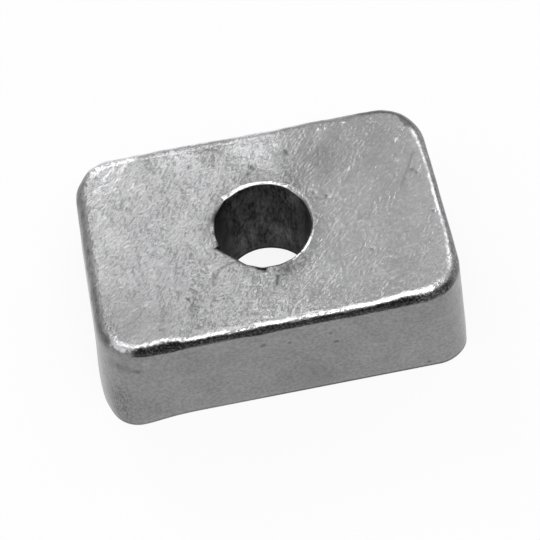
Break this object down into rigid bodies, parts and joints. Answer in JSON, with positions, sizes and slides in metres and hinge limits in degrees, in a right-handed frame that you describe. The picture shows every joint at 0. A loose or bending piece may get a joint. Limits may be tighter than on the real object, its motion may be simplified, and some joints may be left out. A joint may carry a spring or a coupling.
{
  "type": "sacrificial anode",
  "caption": "Small rectangular sacrificial anode block of cast zinc, with leaning walls, rounded corners, a rolled outer edge and a central bolt bore.",
  "frame": {"origin": "middle of the flat seating face, on the axis of the bolt bore", "axes": "+X along the block's length, +Y across its width, +Z from the seating face to the outer face"},
  "size_m": [0.035, 0.023, 0.012],
  "materials": {
    "cast_zinc": "satin grey cast zinc, finely mottled on the outer face and smoother on the walls"
  },
  "bodies": {
    "root": {"anode_block": "cast_zinc"}
  },
  "joints": []
}
